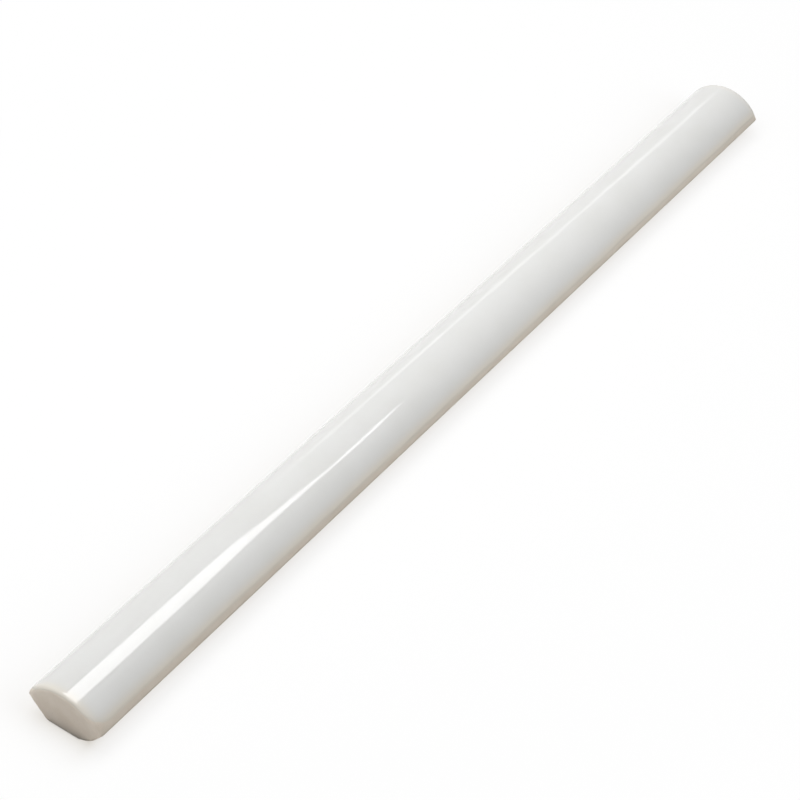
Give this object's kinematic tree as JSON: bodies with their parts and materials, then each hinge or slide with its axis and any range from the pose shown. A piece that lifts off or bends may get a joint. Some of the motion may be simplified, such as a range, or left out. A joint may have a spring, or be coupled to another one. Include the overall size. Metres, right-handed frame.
{
  "type": "bullnose tile",
  "caption": "Slim bullnose trim tile with a glazed rounded crown, bare clay flanks and ends, and a flat back.",
  "frame": {"origin": "middle of the flat back, which rests on the floor or beds on the wall", "axes": "+X along the tile, +Y across it, +Z out of the back towards the crown"},
  "size_m": [0.2, 0.015, 0.009],
  "materials": {
    "white_glaze": "glossy white glaze over the crown, which stops at a line above each shoulder",
    "bare_clay": "matt beige fired clay, unglazed, on the flanks, the ends and the back"
  },
  "bodies": {
    "root": {"bullnose_tile": "white_glaze"}
  },
  "joints": []
}
